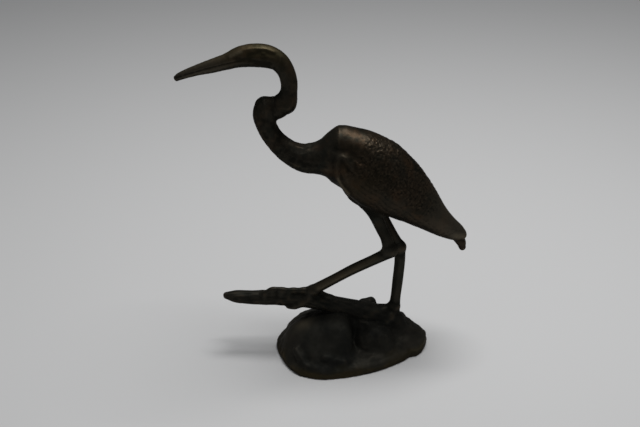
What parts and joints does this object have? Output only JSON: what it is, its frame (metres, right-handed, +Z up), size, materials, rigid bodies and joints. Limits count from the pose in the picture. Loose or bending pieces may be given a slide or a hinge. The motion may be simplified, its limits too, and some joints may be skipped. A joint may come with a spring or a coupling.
{
  "type": "heron statuette",
  "caption": "Cast bronze heron with a kinked neck, striding along a log that lies across a low rock base.",
  "frame": {"origin": "middle of the rock base's flat underside, on the plane of the bird's spine", "axes": "+Z up, -X the way the bird faces, +Y the bird's right side"},
  "size_m": [0.1905, 0.0769, 0.2233],
  "materials": {
    "patinated_bronze": "cast bronze under a dark brown patina, satin, worn to a warmer brown on the ridges"
  },
  "bodies": {
    "root": {"heron_statuette": "patinated_bronze"}
  },
  "joints": []
}
